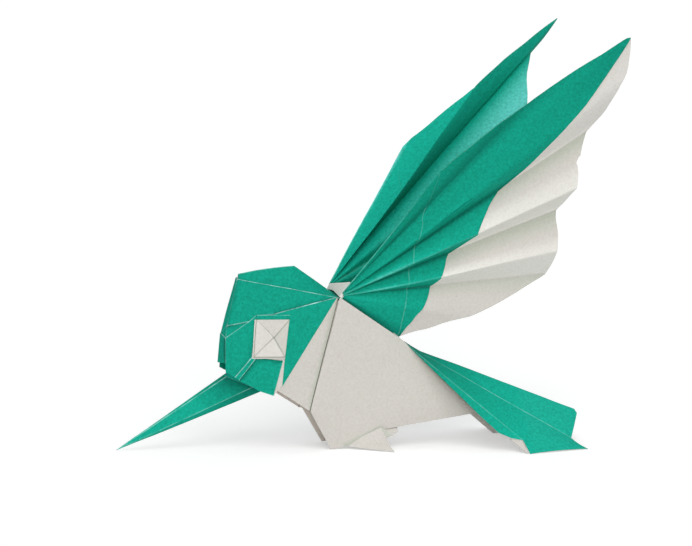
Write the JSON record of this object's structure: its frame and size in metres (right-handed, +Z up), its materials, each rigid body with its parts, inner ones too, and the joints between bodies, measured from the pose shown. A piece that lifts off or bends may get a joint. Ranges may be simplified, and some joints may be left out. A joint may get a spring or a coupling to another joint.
{
  "type": "origami hummingbird",
  "caption": "Standing folded paper hummingbird with a long thin beak, raised pleated wings, a square eye patch and a fanned tail, made from one two-coloured sheet.",
  "frame": {"origin": "middle of the bird's overall box, on the surface that it stands on", "axes": "+X from the beak to the tail, +Y to the bird's right side, +Z up; the two sides mirror about the XZ plane, but for the front folds of the far wing"},
  "size_m": [0.1204, 0.0562, 0.106],
  "materials": {
    "folded_paper": "matt craft paper, teal green on one side and off-white on the other, with worn pale fold lines"
  },
  "bodies": {
    "root": {"paper_bird": "folded_paper"}
  },
  "joints": []
}
